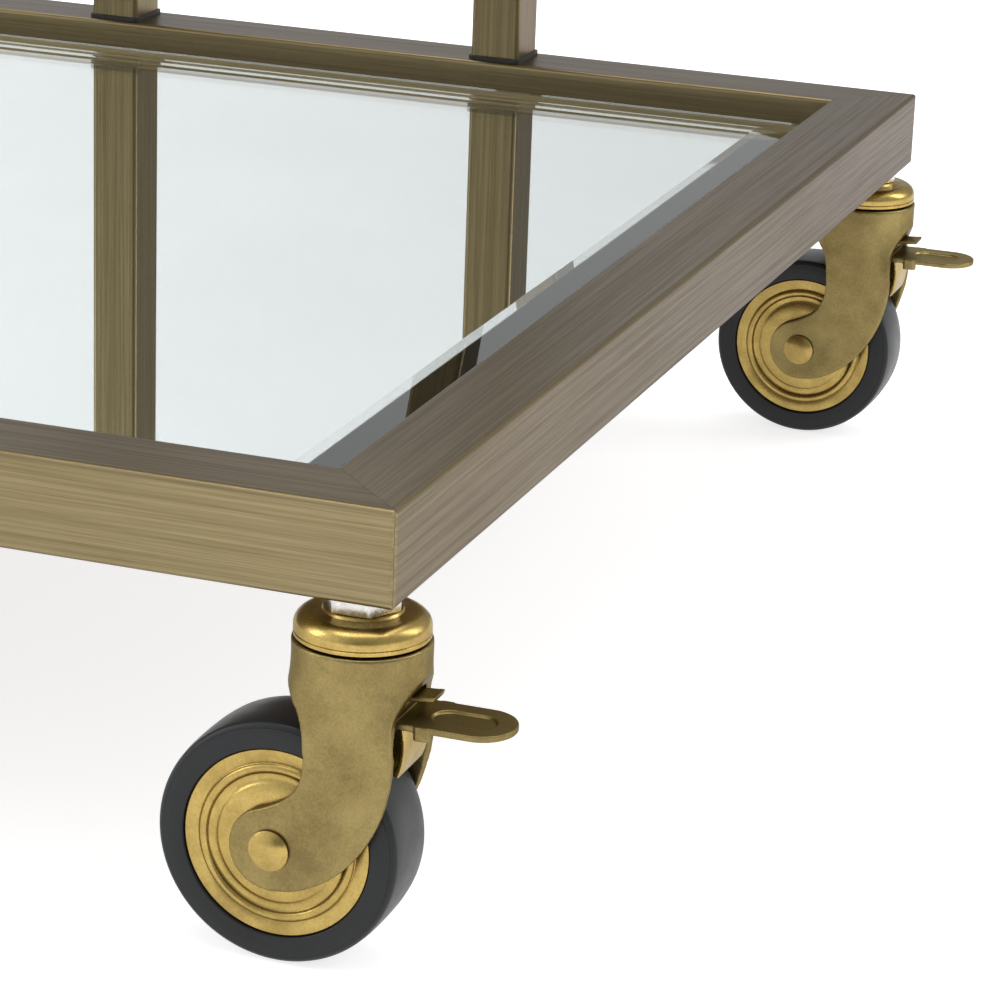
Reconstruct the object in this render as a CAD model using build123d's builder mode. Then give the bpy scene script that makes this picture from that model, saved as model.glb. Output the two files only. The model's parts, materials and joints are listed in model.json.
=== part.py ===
"""Two-tier bar cart on four braked swivel casters.

Part frame: origin on the floor under the middle of the cart, +X along its length,
+Y to its back, +Z up.  Millimetres.
"""
import math
import os

from build123d import *

# ---- whole cart ---------------------------------------------------------------------
length = 900.0
depth = 500.0
height = 800.0

# ---- square tube of both trays ------------------------------------------------------
tube = 25.0
tube_wall = 1.5
tube_corner = 1.5
mitre_gap = 0.05
corner_play = 0.02

# ---- uprights, each standing on a pad and bolted to a plug in its foot ----------------
upright_width = 18.0
upright_depth = 20.0
upright_wall = 1.5
upright_corner = 1.5
upright_x = (-300.0, -150.0, 150.0, 300.0)
pad_thickness = 1.5
pad_margin = 0.75
plug_length = 22.0
bolt_radius = 3.0
bolt_play = 0.3
bolt_head_radius = 5.25
bolt_head_height = 3.3
bolt_socket_radius = 2.3
bolt_socket_depth = 2.0
bolt_head_taper = 18
bolt_end_gap = 4.0

# ---- mirror trays, measured down from the rail's top face ----------------------------
glass_recess = 7.9
glass_thickness = 5.0
glass_play = 0.5
bevel_width = 20.0
bevel_drop = 1.5
board_thickness = 5.0
ledge_width = 12.0
ledge_thickness = 3.0
ledge_gap = 0.5
screw_radius = 1.6
screw_head_radius = 3.2
screw_head_height = 1.8
screw_length = 6.5
screw_head_taper = 25
screw_inset = 6.0
screw_row_x = (-375.0, -225.0, -75.0, 75.0, 225.0, 375.0)
screw_row_y = (-75.0, 75.0)

# ---- caster, in its own frame: stem axis on Z, floor at 0, wheel trailing to -X -------
wheel_radius = 31.75
wheel_half_width = 10.5
shoulder_radius = 30.0
trail = 17.4
cover_radius = 24.5
cover_face = 9.8
cover_sheet = 0.8
rim_radius = 22.5
hub_boss_radius = 6.5
hub_boss_half = 11.0
axle_radius = 3.5
running_play = 0.06
rivet_head_radius = 5.2
rivet_head_height = 2.2
rivet_head_edge = 0.5
leg_face = 14.2
leg_wall = 2.5
bell_radius = 17.0
bell_wall = 2.6
bell_top = 85.2
cap_bottom = 85.7
cap_top = 92.8
cap_radius = 16.7
stem_radius = 4.95
stem_bore = 5.0
stem_top = 113.0
stem_head_radius = 8.0
stem_head_height = 2.9
stem_head_taper = 20
stem_head_gap = 0.3
nut_across_flats = 17.0
nut_height = 4.45
insert_radius = 8.5
insert_height = 20.0
ball_radius = 1.9
ball_circle = 11.0
ball_height = 85.6
ball_count = 14
ball_play = 0.05
race_play = 0.1
brake_pin_x = 9.5
brake_pin_z = 70.0
brake_pin_radius = 1.5
brake_pin_half = 12.5
brake_angle = 22.0
brake_gap = 0.35
barrel_radius = 3.2
pedal_top = 68.0
pedal_sheet = 1.6
pedal_tip = 39.8
pedal_half = 9.2
shoe_half = 8.0
tab_half = 3.5
shoe_sheet = 1.2

# ---- sizes that follow ----------------------------------------------------------------
rail_bottom = cap_top + nut_height
lower_top = rail_bottom + tube
upper_top = height
upper_bottom = height - tube
stem_x = length / 2 - tube / 2
stem_y = depth / 2 - tube / 2
stem_points = [(x, y) for x in (stem_x, -stem_x) for y in (-stem_y, stem_y)]
inside_x = length - 2 * tube
inside_y = depth - 2 * tube
axle_z = wheel_radius

os.makedirs("parts", exist_ok=True)


def save(shape, name):
    """Label a finished piece and write it as its own STEP file."""
    shape.label = name
    export_step(shape, f"parts/{name}.step")


# ======================================================================================
# Trays: four mitred rails, ledge strips, backing board, mirror and screws
# ======================================================================================
def make_rail(top, along_x, side):
    """One mitred rail; side is -1 or +1 along the axis square to the rail."""
    span, across = (length, depth) if along_x else (depth, length)
    base = Plane.YZ if along_x else Plane.XZ
    floor = Plane.XY.offset(top - tube)
    centre = side * (across - tube) / 2
    bore = tube - 2 * tube_wall
    outer = span / 2 - mitre_gap
    mitred = [
        (-outer - tube, side * (across / 2 + tube)),
        (outer + tube, side * (across / 2 + tube)),
        (outer - 2 * tube, side * (across / 2 - 2 * tube)),
        (2 * tube - outer, side * (across / 2 - 2 * tube)),
    ]
    if not along_x:
        mitred = [(x, y) for y, x in mitred]
    with BuildPart() as rail:
        with BuildSketch(base.offset(-span / 2)):
            with Locations((centre, top - tube / 2)):
                RectangleRounded(tube, tube, tube_corner)
                RectangleRounded(bore, bore, tube_corner / 2, mode=Mode.SUBTRACT)
        extrude(amount=span)
        with BuildSketch(Plane.XY.offset(top - 2 * tube)):
            Polygon(*mitred, align=None)
        extrude(amount=3 * tube, mode=Mode.INTERSECT)
        with BuildSketch(Plane.XY.offset(top - 2 * tube)):
            with GridLocations(length, depth, 2, 2):
                Rectangle(2 * tube_corner, 2 * tube_corner)
            with GridLocations(length - 2 * tube_corner, depth - 2 * tube_corner, 2, 2):
                Circle(tube_corner + corner_play, mode=Mode.SUBTRACT)
        extrude(amount=3 * tube, mode=Mode.SUBTRACT)
        if top == lower_top:
            if along_x:
                with BuildSketch(floor):
                    with Locations(*[(x, centre) for x in upright_x]):
                        Circle(bolt_radius + bolt_play)
                extrude(amount=tube, mode=Mode.SUBTRACT)
            with BuildSketch(floor):
                with Locations(*stem_points):
                    Circle(insert_radius)
            extrude(amount=tube_wall, mode=Mode.SUBTRACT)
    return rail.part


def screw_points():
    """Backing-board screws: six along each long ledge, two more on each short one."""
    row_x = inside_x / 2 - screw_inset
    row_y = inside_y / 2 - screw_inset
    long_rows = [(x, side * row_y) for side in (-1, 1) for x in screw_row_x]
    short_rows = [(side * row_x, y) for side in (-1, 1) for y in screw_row_y]
    return long_rows + short_rows


tray_tops = {"lower": lower_top, "upper": upper_top}
for tray, top in tray_tops.items():
    save(make_rail(top, True, -1), f"{tray}_front_rail")
    save(make_rail(top, True, 1), f"{tray}_back_rail")
    save(make_rail(top, False, -1), f"{tray}_left_rail")
    save(make_rail(top, False, 1), f"{tray}_right_rail")

    glass_top = top - glass_recess
    board_top = glass_top - glass_thickness
    ledge_top = board_top - board_thickness
    screw_seat = ledge_top - ledge_thickness
    pane = (inside_x - 2 * glass_play, inside_y - 2 * glass_play)

    with BuildPart() as ledge_strips:
        with BuildSketch(Plane.XY.offset(screw_seat)):
            with GridLocations(0, inside_y - ledge_width, 1, 2):
                Rectangle(inside_x, ledge_width)
            with GridLocations(inside_x - ledge_width, 0, 2, 1):
                Rectangle(ledge_width, inside_y - 2 * (ledge_width + ledge_gap))
            with Locations(*screw_points()):
                Circle(screw_radius, mode=Mode.SUBTRACT)
        extrude(amount=ledge_thickness)
    save(ledge_strips.part, f"{tray}_ledge_strips")

    with BuildPart() as backing_board:
        with BuildSketch(Plane.XY.offset(ledge_top)):
            Rectangle(*pane)
        extrude(amount=board_thickness)
        with BuildSketch(Plane.XY.offset(ledge_top)):
            with Locations(*screw_points()):
                Circle(screw_radius)
        extrude(amount=screw_length - ledge_thickness, mode=Mode.SUBTRACT)
    save(backing_board.part, f"{tray}_backing_board")

    with BuildPart() as pane_glass:
        with BuildSketch(Plane.XY.offset(board_top)):
            Rectangle(*pane)
        extrude(amount=glass_thickness - bevel_drop)
        with BuildSketch(Plane.XY.offset(glass_top - bevel_drop)):
            Rectangle(*pane)
        with BuildSketch(Plane.XY.offset(glass_top)):
            Rectangle(inside_x - 2 * bevel_width, inside_y - 2 * bevel_width)
        loft(ruled=True)
    save(pane_glass.part, f"{tray}_mirror")

with BuildPart() as backing_screws:
    for top in tray_tops.values():
        drop = glass_recess + glass_thickness + board_thickness + ledge_thickness
        with BuildSketch(Plane.XY.offset(top - drop)):
            with Locations(*screw_points()):
                Circle(screw_radius)
        extrude(amount=screw_length)
        with BuildSketch(Plane.XY.offset(top - drop)):
            with Locations(*screw_points()):
                Circle(screw_head_radius)
        extrude(amount=-screw_head_height, taper=screw_head_taper)
save(backing_screws.part, "backing_screws")


# ======================================================================================
# Uprights: tubes on pads, bolted at the foot and sleeved over spigots at the head
# ======================================================================================
foot_z = lower_top + pad_thickness
head_z = upper_bottom - pad_thickness
bore_width = upright_width - 2 * upright_wall
bore_depth = upright_depth - 2 * upright_wall
upright_points = [(x, s * stem_y) for s in (-1, 1) for x in upright_x]

for row, side in (("front", -1), ("back", 1)):
    with BuildPart() as uprights:
        with BuildSketch(Plane.XY.offset(foot_z)):
            with Locations(*[(x, side * stem_y) for x in upright_x]):
                RectangleRounded(upright_width, upright_depth, upright_corner)
                Rectangle(bore_width, bore_depth, mode=Mode.SUBTRACT)
        extrude(amount=head_z - foot_z)
    save(uprights.part, f"{row}_uprights")

pad_width = upright_width + 2 * pad_margin
pad_depth = upright_depth + 2 * pad_margin
with BuildPart() as upright_pads:
    for bottom in (lower_top, head_z):
        with BuildSketch(Plane.XY.offset(bottom)):
            with Locations(*upright_points):
                RectangleRounded(pad_width, pad_depth, upright_corner)
                Circle(bolt_radius + bolt_play, mode=Mode.SUBTRACT)
        extrude(amount=pad_thickness)
save(upright_pads.part, "upright_pads")

with BuildPart() as upright_plugs:
    with BuildSketch(Plane.XY.offset(foot_z)):
        with Locations(*upright_points):
            Rectangle(bore_width, bore_depth)
            Circle(bolt_radius, mode=Mode.SUBTRACT)
    extrude(amount=plug_length)
save(upright_plugs.part, "upright_plugs")

with BuildPart() as upright_spigots:
    with BuildSketch(Plane.XY.offset(head_z)):
        with Locations(*upright_points):
            Rectangle(bore_width, bore_depth)
    extrude(amount=-plug_length)
    with BuildSketch(Plane.XY.offset(head_z)):
        with Locations(*upright_points):
            Circle(bolt_radius + bolt_play)
    extrude(amount=pad_thickness)
save(upright_spigots.part, "upright_spigots")

with BuildPart() as upright_bolts:
    with BuildSketch(Plane.XY.offset(rail_bottom)):
        with Locations(*upright_points):
            Circle(bolt_radius)
    extrude(amount=tube + pad_thickness + plug_length - bolt_end_gap)
    with BuildSketch(Plane.XY.offset(rail_bottom)):
        with Locations(*upright_points):
            Circle(bolt_head_radius)
    extrude(amount=-bolt_head_height, taper=bolt_head_taper)
    with BuildSketch(Plane.XY.offset(rail_bottom - bolt_head_height)):
        with Locations(*upright_points):
            RegularPolygon(bolt_socket_radius, 6)
    extrude(amount=bolt_socket_depth, mode=Mode.SUBTRACT)
save(upright_bolts.part, "upright_bolts")


# ======================================================================================
# What is fixed to the cart above each caster
# ======================================================================================
with BuildPart() as caster_inserts:
    with BuildSketch(Plane.XY.offset(rail_bottom)):
        with Locations(*stem_points):
            Circle(insert_radius)
    extrude(amount=insert_height)
    with BuildSketch(Plane.XY.offset(rail_bottom)):
        with Locations(*stem_points):
            Circle(stem_bore)
    extrude(amount=insert_height - tube_wall, mode=Mode.SUBTRACT)
save(caster_inserts.part, "caster_inserts")

crown_under = bell_top - bell_wall
head_top = crown_under - stem_head_gap
with BuildPart() as caster_stems:
    with BuildSketch(Plane.XY.offset(head_top)):
        with Locations(*stem_points):
            Circle(stem_radius)
    extrude(amount=stem_top - head_top)
    with BuildSketch(Plane.XY.offset(head_top)):
        with Locations(*stem_points):
            Circle(stem_head_radius)
    extrude(amount=-stem_head_height, taper=stem_head_taper)
save(caster_stems.part, "caster_stems")

with BuildPart() as caster_nuts:
    with BuildSketch(Plane.XY.offset(cap_top)):
        with Locations(*stem_points):
            RegularPolygon(nut_across_flats / 2, 6, major_radius=False)
            Circle(stem_bore, mode=Mode.SUBTRACT)
    extrude(amount=nut_height)
save(caster_nuts.part, "caster_nuts")

# One domed cap: a rolled rim, a shallow dish and a raised seat for the nut.
cap_floor = ball_height + 0.8
cap_seat_radius = 9.6
cap_rim_top = 87.6
cap_foot_radius = cap_radius - 0.3
cap_lip_radius = cap_radius - 2.0
with BuildPart() as cap:
    with BuildSketch(Plane.XZ):
        with BuildLine():
            Polyline((stem_bore, cap_floor), (stem_bore, cap_top), (cap_seat_radius, cap_top))
            Spline(
                (cap_seat_radius, cap_top), (12.4, 91.9), (15.0, 90.4), (cap_radius, cap_rim_top),
                tangents=((1, 0), (0, -1)),
            )
            Polyline(
                (cap_radius, cap_rim_top), (cap_foot_radius, cap_bottom), (cap_lip_radius, cap_bottom),
                (cap_lip_radius - 0.6, cap_floor), (stem_bore, cap_floor),
            )
        make_face()
    revolve(axis=Axis.Z)
    with BuildSketch(Plane.XZ):
        with Locations((ball_circle, ball_height)):
            Circle(ball_radius + ball_play)
    revolve(axis=Axis.Z, mode=Mode.SUBTRACT)

with BuildPart() as caster_caps:
    with Locations(*stem_points):
        add(cap.part)
save(caster_caps.part, "caster_caps")

with BuildPart() as swivel_balls:
    for x, y in stem_points:
        with Locations((x, y, ball_height)):
            with PolarLocations(ball_circle, ball_count):
                Sphere(ball_radius)
save(swivel_balls.part, "swivel_balls")


# ======================================================================================
# Caster, made once in its own frame
# ======================================================================================
# Each level of the pressed fork, round at the bell and flat-sided at the legs:
# height, middle in X, half length in X, half depth in Y, corner radius.
fork_levels = (
    (bell_top, 0.0, bell_radius, bell_radius, 16.4),
    (78.0, 0.0, bell_radius, bell_radius, 16.4),
    (70.0, 0.0, 18.5, 16.4, 15.5),
    (60.0, -0.5, 24.0, 15.2, 14.5),
    (50.0, -4.0, 33.0, 14.5, 13.5),
    (40.0, -8.0, 40.0, leg_face, 12.0),
    (24.0, -8.0, 40.0, leg_face, 12.0),
    (8.0, -8.0, 40.0, leg_face, 12.0),
)
boss_radius = 10.8
boss_bottom = (-trail, axle_z - boss_radius)
boss_top = (-trail - boss_radius / 2, axle_z + boss_radius * math.sqrt(0.75))
outline_half = bell_radius + 1
outline_top = bell_top + 1
throat_z = 74.8
brow_z = 79.2
side_depth = 2 * bell_radius + 2

with BuildPart() as fork_cavity:
    for z, middle, half_x, half_y, corner in fork_levels:
        with BuildSketch(Plane.XY.offset(min(z, crown_under))):
            with Locations((middle, 0)):
                RectangleRounded(2 * (half_x - leg_wall), 2 * (half_y - leg_wall), corner - leg_wall)
    loft()

with BuildPart() as fork:
    for z, middle, half_x, half_y, corner in fork_levels:
        with BuildSketch(Plane.XY.offset(z)):
            with Locations((middle, 0)):
                RectangleRounded(2 * half_x, 2 * half_y, corner)
    loft()
    with BuildSketch(Plane.XZ.offset(-side_depth / 2)):
        with BuildLine():
            Polyline(
                (-outline_half, throat_z), (-outline_half, outline_top), (outline_half, outline_top),
                (outline_half, brow_z),
            )
            Spline(
                (outline_half, brow_z), (bell_radius, 77.4), (14.7, 73.2), (13.4, 70.0), (13.1, 64.8),
                (13.6, 57.0), (12.3, 48.9), (9.7, 41.1), (4.7, 32.9), (-1.7, 26.5), (-9.6, 22.2),
                boss_bottom,
                tangents=((-0.4, -1), (-1, 0)),
            )
            ThreePointArc(boss_bottom, (-trail - boss_radius, axle_z), boss_top)
            Spline(
                boss_top, (-16.6, 43.8), (-11.9, 47.4), (-9.2, 54.0), (-9.3, 62.0), (-10.9, 68.6),
                (-14.8, 72.4), (-outline_half, throat_z),
                tangents=((1, 0.35), (-1, 0.5)),
            )
        make_face()
    extrude(amount=side_depth, mode=Mode.INTERSECT)
    add(fork_cavity.part, mode=Mode.SUBTRACT)
    with BuildSketch(Plane.XZ.offset(-side_depth / 2)):
        with Locations((-trail, axle_z)):
            Circle(axle_radius)
    extrude(amount=side_depth, mode=Mode.SUBTRACT)
    with BuildSketch(Plane.XZ.offset(-brake_pin_half)):
        with Locations((brake_pin_x, brake_pin_z)):
            Circle(brake_pin_radius)
    extrude(amount=2 * brake_pin_half, mode=Mode.SUBTRACT)
    with BuildSketch(Plane.XY.offset(bell_top)):
        Circle(stem_bore)
    extrude(amount=-2 * bell_wall, mode=Mode.SUBTRACT)
    with BuildSketch(Plane.XZ):
        with Locations((ball_circle, ball_height)):
            Circle(ball_radius + race_play)
    revolve(axis=Axis.Z, mode=Mode.SUBTRACT)

wheel_axis = Axis((-trail, 0, axle_z), (0, 1, 0))
wheel_section = Plane(origin=(-trail, 0, axle_z), x_dir=(1, 0, 0), z_dir=(0, 0, 1))
seat_half = cover_face - cover_sheet

# Solid rivet: a shank through both legs with a low spherical dome on each end.
dome_rise = rivet_head_height - rivet_head_edge
dome_radius = (rivet_head_radius**2 + dome_rise**2) / (2 * dome_rise)
dome_half = math.degrees(math.asin(rivet_head_radius / dome_radius))
dome_tip = leg_face + rivet_head_height
with BuildPart() as axle:
    with BuildSketch(wheel_section):
        with BuildLine():
            Polyline((axle_radius, 0), (axle_radius, leg_face), (rivet_head_radius, leg_face))
            Line((rivet_head_radius, leg_face), (rivet_head_radius, dome_tip - dome_rise))
            CenterArc((0, dome_tip - dome_radius), dome_radius, 90 - dome_half, dome_half)
            Line((0, dome_tip), (0, 0))
            mirror(about=Plane.XZ)
        make_face()
    revolve(axis=wheel_axis)

# Tyre: crowned tread, rounded shoulders and a lip that laps over each cover.
side_radius = shoulder_radius - 0.6
with BuildPart() as tyre:
    with BuildSketch(wheel_section):
        with BuildLine():
            Polyline(
                (side_radius, wheel_half_width), (cover_radius + 0.5, wheel_half_width),
                (cover_radius, cover_face), (cover_radius, seat_half),
                (rim_radius, seat_half), (rim_radius, 0),
            )
            Spline(
                (side_radius, wheel_half_width), (31.0, 8.9), (31.55, 5.0), (wheel_radius, 0),
                tangents=((1, 0), (0, -1)),
            )
            mirror(about=Plane.XZ)
        make_face()
    revolve(axis=wheel_axis)

with BuildPart() as wheel_hub:
    with BuildSketch(Plane.XZ.offset(-seat_half)):
        with Locations((-trail, axle_z)):
            Circle(rim_radius)
    extrude(amount=2 * seat_half)
    with BuildSketch(Plane.XZ.offset(-hub_boss_half)):
        with Locations((-trail, axle_z)):
            Circle(hub_boss_radius)
    extrude(amount=2 * hub_boss_half)
    with BuildSketch(Plane.XZ.offset(-hub_boss_half)):
        with Locations((-trail, axle_z)):
            Circle(axle_radius + running_play)
    extrude(amount=2 * hub_boss_half, mode=Mode.SUBTRACT)

# Pressed covers: sloping rim band, rounded bead, groove and a shallow middle dome.
bead_foot_radius = 20.7
groove_radius = 17.0
dome_foot_radius = 16.1
groove_face = seat_half + 0.15
with BuildPart() as wheel_covers:
    for side in (-1, 1):
        back, band, groove, face = (side * y for y in (seat_half, cover_face - 0.35, groove_face, cover_face))
        crown = side * (cover_face + 1.0)
        with BuildSketch(wheel_section):
            with BuildLine():
                Polyline(
                    (hub_boss_radius, crown), (hub_boss_radius, back), (cover_radius, back),
                    (cover_radius, face), (bead_foot_radius, band),
                )
                Spline(
                    (bead_foot_radius, band), (19.5, face + side * 0.5), (18.2, face - side * 0.1),
                    (groove_radius, groove),
                )
                Line((groove_radius, groove), (dome_foot_radius, groove))
                Spline(
                    (dome_foot_radius, groove), (14.9, face + side * 0.1), (11.0, face + side * 0.75),
                    (hub_boss_radius, crown),
                )
            make_face()
        revolve(axis=wheel_axis)

with BuildPart() as brake_pin:
    with BuildSketch(Plane.XZ.offset(-brake_pin_half)):
        with Locations((brake_pin_x, brake_pin_z)):
            Circle(brake_pin_radius)
    extrude(amount=2 * brake_pin_half)

# Pedal: a barrel on the pin, a rounded tongue with a long pressed recess, two small ears
# at its root and a release tab above.
tongue_root = brake_pin_x + 1.0
tongue_round = pedal_tip - 8.5
recess_start = tongue_root + 8.0
recess_end = pedal_tip - 5.0
recess_width = 9.0
recess_depth = 0.7
recess_taper = 20
ear_x = 19.0
ear_y = pedal_half - 1.2
ear_drop = 3.6
with BuildPart() as brake_pedal:
    with BuildSketch(Plane.XY.offset(pedal_top)):
        with BuildLine():
            Polyline(
                (tongue_round, -pedal_half), (tongue_root, -pedal_half),
                (tongue_root, pedal_half), (tongue_round, pedal_half),
            )
            ThreePointArc((tongue_round, pedal_half), (pedal_tip, 0), (tongue_round, -pedal_half))
        make_face()
    extrude(amount=-pedal_sheet)
    with BuildSketch(Plane.XY.offset(pedal_top)):
        with Locations(((recess_start + recess_end) / 2, 0)):
            SlotOverall(recess_end - recess_start, recess_width)
    extrude(amount=-recess_depth, mode=Mode.SUBTRACT, taper=recess_taper)
    with BuildSketch(Plane.XZ.offset(-shoe_half)):
        with Locations((brake_pin_x, brake_pin_z)):
            Circle(barrel_radius)
    extrude(amount=2 * shoe_half)
    with BuildSketch(Plane.XY.offset(pedal_top)):
        with Locations((ear_x, -ear_y), (ear_x, ear_y)):
            RectangleRounded(4.4, 3.2, 1.2)
    extrude(amount=-ear_drop)
    with BuildSketch(Plane.XZ.offset(-tab_half)):
        with Locations((brake_pin_x, brake_pin_z)):
            Polygon((0, 1.2), (10.4, 2.2), (10.8, 3.6), (0, 2.7), align=None)
    extrude(amount=2 * tab_half)
    with BuildSketch(Plane.XZ.offset(-shoe_half)):
        with Locations((brake_pin_x, brake_pin_z)):
            Circle(brake_pin_radius + running_play)
    extrude(amount=2 * shoe_half, mode=Mode.SUBTRACT)

# Shoe: a leaf under the pedal whose foot is an arc that comes concentric with the tyre
# when the pedal is pressed down by the brake angle.
pressed = math.radians(brake_angle)
wheel_dx = -trail - brake_pin_x
wheel_dz = axle_z - brake_pin_z
arc_x = brake_pin_x + wheel_dx * math.cos(pressed) - wheel_dz * math.sin(pressed)
arc_z = brake_pin_z + wheel_dx * math.sin(pressed) + wheel_dz * math.cos(pressed)


def shoe_point(radius, degrees):
    """Point of the shoe's foot at rest, by radius and angle about the arc's middle."""
    angle = math.radians(degrees)
    return (arc_x + radius * math.cos(angle), arc_z + radius * math.sin(angle))


foot_start = 64
foot_middle = 71
foot_end = 78
face_r = wheel_radius + brake_gap
back_r = face_r + shoe_sheet
leaf_top = pedal_top - pedal_sheet
leaf_front = (14.0, leaf_top)
leaf_rear = (leaf_front[0] - shoe_sheet, leaf_top)
foot_bend = shoe_point(back_r, foot_start + 3)
with BuildPart() as brake_shoe:
    with BuildSketch(Plane.XZ.offset(-shoe_half)):
        with BuildLine():
            ThreePointArc(
                shoe_point(face_r, foot_end), shoe_point(face_r, foot_middle),
                shoe_point(face_r, foot_start),
            )
            Line(shoe_point(face_r, foot_start), shoe_point(back_r, foot_start))
            Spline(shoe_point(back_r, foot_start), (14.6, 60.0), leaf_front)
            Line(leaf_front, leaf_rear)
            Spline(leaf_rear, (13.3, 60.0), foot_bend)
            ThreePointArc(foot_bend, shoe_point(back_r, foot_middle + 1), shoe_point(back_r, foot_end))
            Line(shoe_point(back_r, foot_end), shoe_point(face_r, foot_end))
        make_face()
    extrude(amount=2 * shoe_half)

caster_pieces = {
    "fork": fork.part,
    "axle": axle.part,
    "tyre": tyre.part,
    "wheel_hub": wheel_hub.part,
    "wheel_covers": wheel_covers.part,
    "brake_pin": brake_pin.part,
    "brake_pedal": brake_pedal.part,
    "brake_shoe": brake_shoe.part,
}
# The left pair is turned half round, so every pedal points outwards.
caster_places = {
    "front_right": Location((stem_x, -stem_y, 0)),
    "back_right": Location((stem_x, stem_y, 0)),
    "front_left": Location((-stem_x, -stem_y, 0), (0, 0, 180)),
    "back_left": Location((-stem_x, stem_y, 0), (0, 0, 180)),
}
for corner, place in caster_places.items():
    for piece, shape in caster_pieces.items():
        save(shape.moved(place), f"{corner}_{piece}")
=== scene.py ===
"""Looks of a two-tier bar cart: bevelled mirror trays in brushed brass tube on braked casters.

Every piece stands in the part frame, in metres: +X along the cart, +Y to its back, +Z up,
with the origin on the floor under its middle.
"""
import json
import math

import bpy
from mathutils import Matrix, Vector


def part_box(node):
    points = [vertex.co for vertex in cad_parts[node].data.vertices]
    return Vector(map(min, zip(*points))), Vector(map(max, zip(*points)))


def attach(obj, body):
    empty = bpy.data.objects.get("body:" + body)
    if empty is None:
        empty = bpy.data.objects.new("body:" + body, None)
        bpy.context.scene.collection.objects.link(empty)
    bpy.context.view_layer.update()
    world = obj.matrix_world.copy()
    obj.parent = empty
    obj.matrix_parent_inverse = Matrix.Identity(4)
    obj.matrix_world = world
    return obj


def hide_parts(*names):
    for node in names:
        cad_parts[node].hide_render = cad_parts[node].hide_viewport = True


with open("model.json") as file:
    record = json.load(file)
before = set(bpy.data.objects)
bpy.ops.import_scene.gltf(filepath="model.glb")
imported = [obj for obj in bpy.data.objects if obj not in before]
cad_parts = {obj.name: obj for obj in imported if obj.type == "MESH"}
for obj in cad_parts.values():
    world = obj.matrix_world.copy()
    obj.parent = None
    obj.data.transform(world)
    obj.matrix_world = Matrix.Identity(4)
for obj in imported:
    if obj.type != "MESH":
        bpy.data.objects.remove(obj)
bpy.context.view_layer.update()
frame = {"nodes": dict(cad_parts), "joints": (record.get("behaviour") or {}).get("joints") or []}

bl_info = {
    "name": "Bar cart on casters",
    "version": (1, 0, 0),
    "blender": (4, 5, 0),
    "location": "View3D > Sidebar > Bar Cart",
    "description": "Builds the finish and the fine pieces of a mirror-topped brass bar cart",
    "category": "Object",
}

MM = 0.001
FULL_TURN = 2 * math.pi
X_AXIS = Vector((1, 0, 0))
Y_AXIS = Vector((0, 1, 0))
Z_AXIS = Vector((0, 0, 1))
TRAYS = ("lower", "upper")


# ---- places taken from the frame -----------------------------------------------------
def joint_point(name):
    """Where a joint turns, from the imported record."""
    return Vector(next(joint["pos_m"] for joint in frame["joints"] if joint["name"] == name))


def caster_places():
    """Matrix that carries a piece made on the Z axis, wheel trailing to -X, to each corner."""
    places = {}
    for joint in frame["joints"]:
        if not joint["name"].endswith("_swivel"):
            continue
        corner = joint["name"].removesuffix("_swivel")
        stem = joint_point(joint["name"])
        trails_back = joint_point(f"{corner}_spin").x < stem.x
        turn = Matrix.Rotation(0 if trails_back else math.pi, 4, "Z")
        places[corner] = Matrix.Translation((stem.x, stem.y, 0)) @ turn
    return places


CASTERS = caster_places()
PATTERN = "front_right"


def pattern_box(node):
    """Box of a pattern caster's node, measured from its own stem axis on the floor."""
    low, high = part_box(f"{PATTERN}_{node}")
    stem = CASTERS[PATTERN].translation
    return low - stem, high - stem


def axle_centre():
    """Middle of the pattern caster's wheel, from its own stem axis on the floor."""
    return joint_point(f"{PATTERN}_spin") - CASTERS[PATTERN].translation


# ---- settings --------------------------------------------------------------------------
class StageSettings(bpy.types.PropertyGroup):
    camera_place: bpy.props.FloatVectorProperty(
        name="Camera place",
        description="Where the camera stands",
        default=(0.7424, -1.0139, 0.4028),
        subtype="TRANSLATION",
        unit="LENGTH",
    )
    camera_yaw: bpy.props.FloatProperty(
        name="Camera yaw",
        description="How far the camera is turned to the left of the cart's back",
        default=math.radians(19.27),
        subtype="ANGLE",
    )
    camera_tilt: bpy.props.FloatProperty(
        name="Camera tilt",
        description="How far the camera looks down",
        default=math.radians(18.71),
        subtype="ANGLE",
    )
    camera_roll: bpy.props.FloatProperty(
        name="Camera roll",
        description="How far the camera leans about its own line of sight",
        default=math.radians(2.085),
        subtype="ANGLE",
    )
    camera_lens: bpy.props.FloatProperty(
        name="Focal length",
        description="Focal length on a 36 mm sensor",
        default=134.4,
        min=20,
        subtype="DISTANCE_CAMERA",
    )
    floor_colour: bpy.props.FloatVectorProperty(
        name="Floor colour",
        description="Colour of the plain floor",
        default=(0.5, 0.5, 0.5),
        min=0,
        max=1,
        subtype="COLOR",
    )
    floor_glow: bpy.props.FloatProperty(
        name="Floor glow",
        description="Light from under the translucent floor",
        default=0.75,
        min=0,
    )
    key_power: bpy.props.FloatProperty(
        name="Key power",
        description="Power of the broad lamp overhead",
        default=60,
        min=0,
        unit="POWER",
    )
    side_power: bpy.props.FloatProperty(
        name="Side power",
        description="Power of the tall lamps at the cart's sides",
        default=16,
        min=0,
        unit="POWER",
    )
    backdrop_light: bpy.props.FloatProperty(
        name="Backdrop light",
        description="Brightness of the pale studio walls",
        default=0.9,
        min=0,
    )
    room_light: bpy.props.FloatProperty(
        name="Room light",
        description="Brightness of the dim side of the studio",
        default=0.35,
        min=0,
    )
    dim_heading: bpy.props.FloatVectorProperty(
        name="Dim heading",
        description="Direction of the dim side of the studio",
        default=(0.33, -0.94, 0.1),
        subtype="DIRECTION",
    )


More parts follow.
